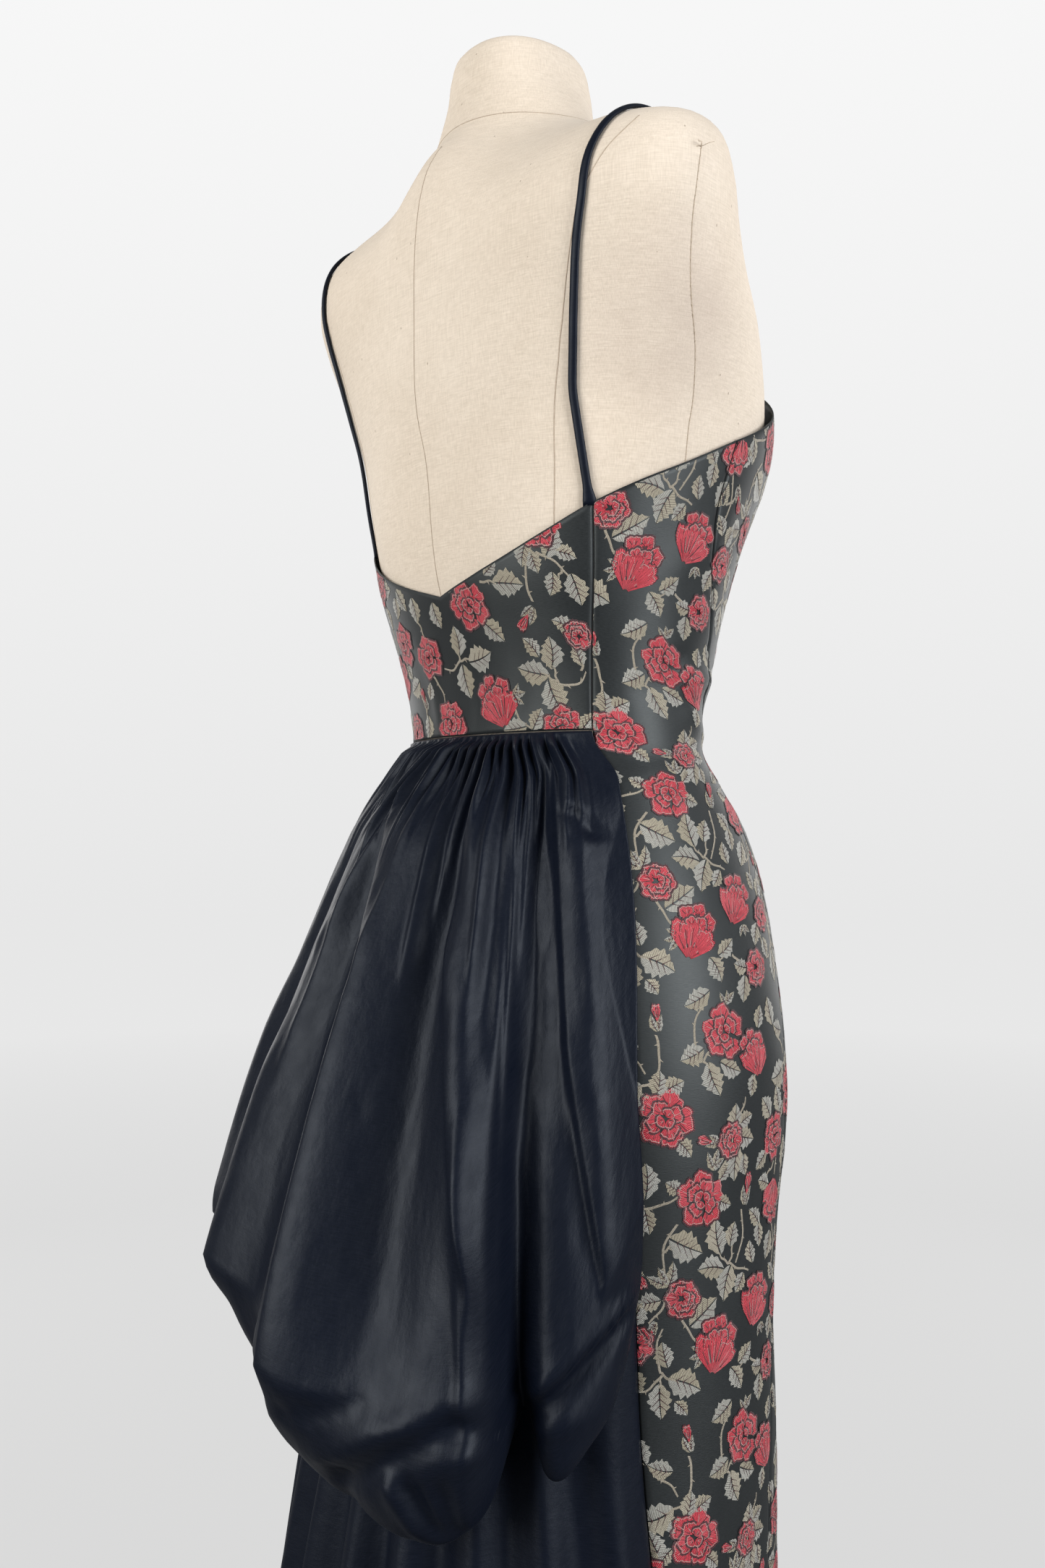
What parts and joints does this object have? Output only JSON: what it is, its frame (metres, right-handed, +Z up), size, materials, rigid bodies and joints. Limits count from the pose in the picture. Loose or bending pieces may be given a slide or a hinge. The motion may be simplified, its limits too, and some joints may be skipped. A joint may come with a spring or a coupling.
{
  "type": "bustle evening gown on a limbless dress form with a stand",
  "caption": "Evening gown with narrow straps, a V back, a gathered puffed bustle and a flared back skirt, worn on a limbless padded dress form with a pole and a round base.",
  "frame": {"origin": "centre of the round base's underside, on the floor, below the middle of the waist", "axes": "+Z up, -Y the gown's front, +Y its bustle, -X the wearer's right side"},
  "size_m": [0.4186, 0.4181, 1.554],
  "materials": {
    "brocade": "black satin brocade with red roses and silvery gold leaves",
    "taffeta": "crisp blue-black taffeta with a soft sheen",
    "linen": "unbleached linen, matt",
    "steel": "satin black powder coat"
  },
  "bodies": {
    "root": {"bodice_back": "brocade", "side_panel_right": "brocade", "side_panel_left": "brocade", "front_panel": "brocade", "underskirt": "taffeta", "bustle": "taffeta", "strap_right": "taffeta", "strap_left": "taffeta", "form_torso": "linen", "stand_collar": "steel", "stand_pole": "steel", "stand_base": "steel"}
  },
  "joints": []
}
